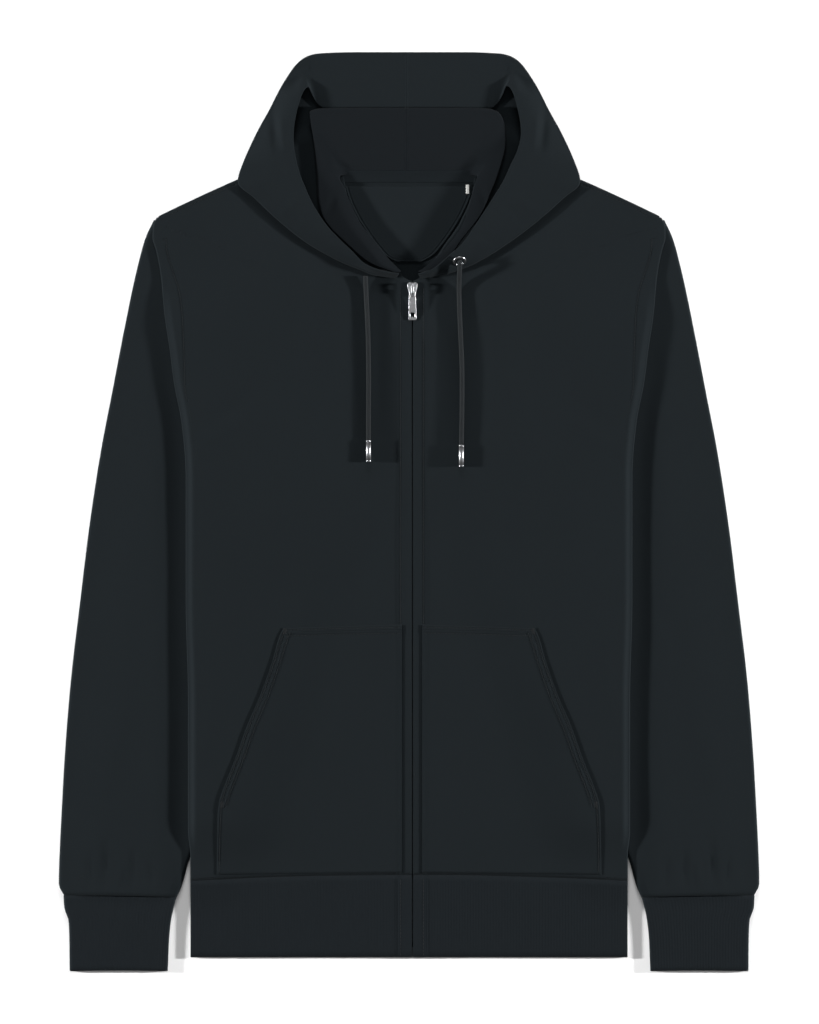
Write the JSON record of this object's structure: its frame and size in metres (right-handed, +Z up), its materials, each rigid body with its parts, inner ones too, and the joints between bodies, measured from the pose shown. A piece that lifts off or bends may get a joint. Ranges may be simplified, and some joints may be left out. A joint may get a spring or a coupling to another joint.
{
  "type": "zip up hoodie, laid flat",
  "caption": "Near-black zip-up hoodie laid flat, sleeves folded behind, with kangaroo pockets, ribbed cuffs and hem, drawcord and silver zip.",
  "frame": {"origin": "bottom centre of the garment's box as it lies, without the drawcord's ends", "axes": "+Z up from the surface it lies on, +Y from hem to hood, +X to the wearer's left, which is the viewer's right"},
  "size_m": [0.603, 0.794, 0.0155],
  "materials": {
    "knit": "matte, brushed cotton jersey, near black with a cool tone",
    "inside": "matte jersey hood lining",
    "rib": "matte one by one rib",
    "tape": "matte woven tape",
    "cord": "matte braided round cord",
    "label": "bare white woven label",
    "silver": "satin silver metal"
  },
  "bodies": {
    "garment": {"front_left": "knit", "front_right": "knit", "back": "knit", "sleeve_left": "knit", "cuff_left": "rib", "sleeve_right": "knit", "cuff_right": "rib", "waistband": "rib", "pocket_left": "knit", "pocket_right": "knit", "hood_left": "knit", "hood_right": "knit", "hood_lining_left": "inside", "hood_lining_right": "inside", "back_patch": "knit", "neck_tape": "tape", "label": "label", "zip_tape_left": "tape", "zip_tape_right": "tape", "zip_box": "silver", "zip_slider": "silver", "zip_bail": "silver", "eyelet_right": "silver", "cord_left": "cord", "tip_left": "silver", "cord_right": "cord", "tip_right": "silver"},
    "pull": {"zip_pull": "silver"}
  },
  "joints": [
    {"name": "pull_swing", "type": "hinge", "parent": "garment", "child": "pull", "pos_m": [0.003, 0.1903, 0.00867], "axis": [-1, 0, 0], "range_deg": [0, 135]}
  ]
}
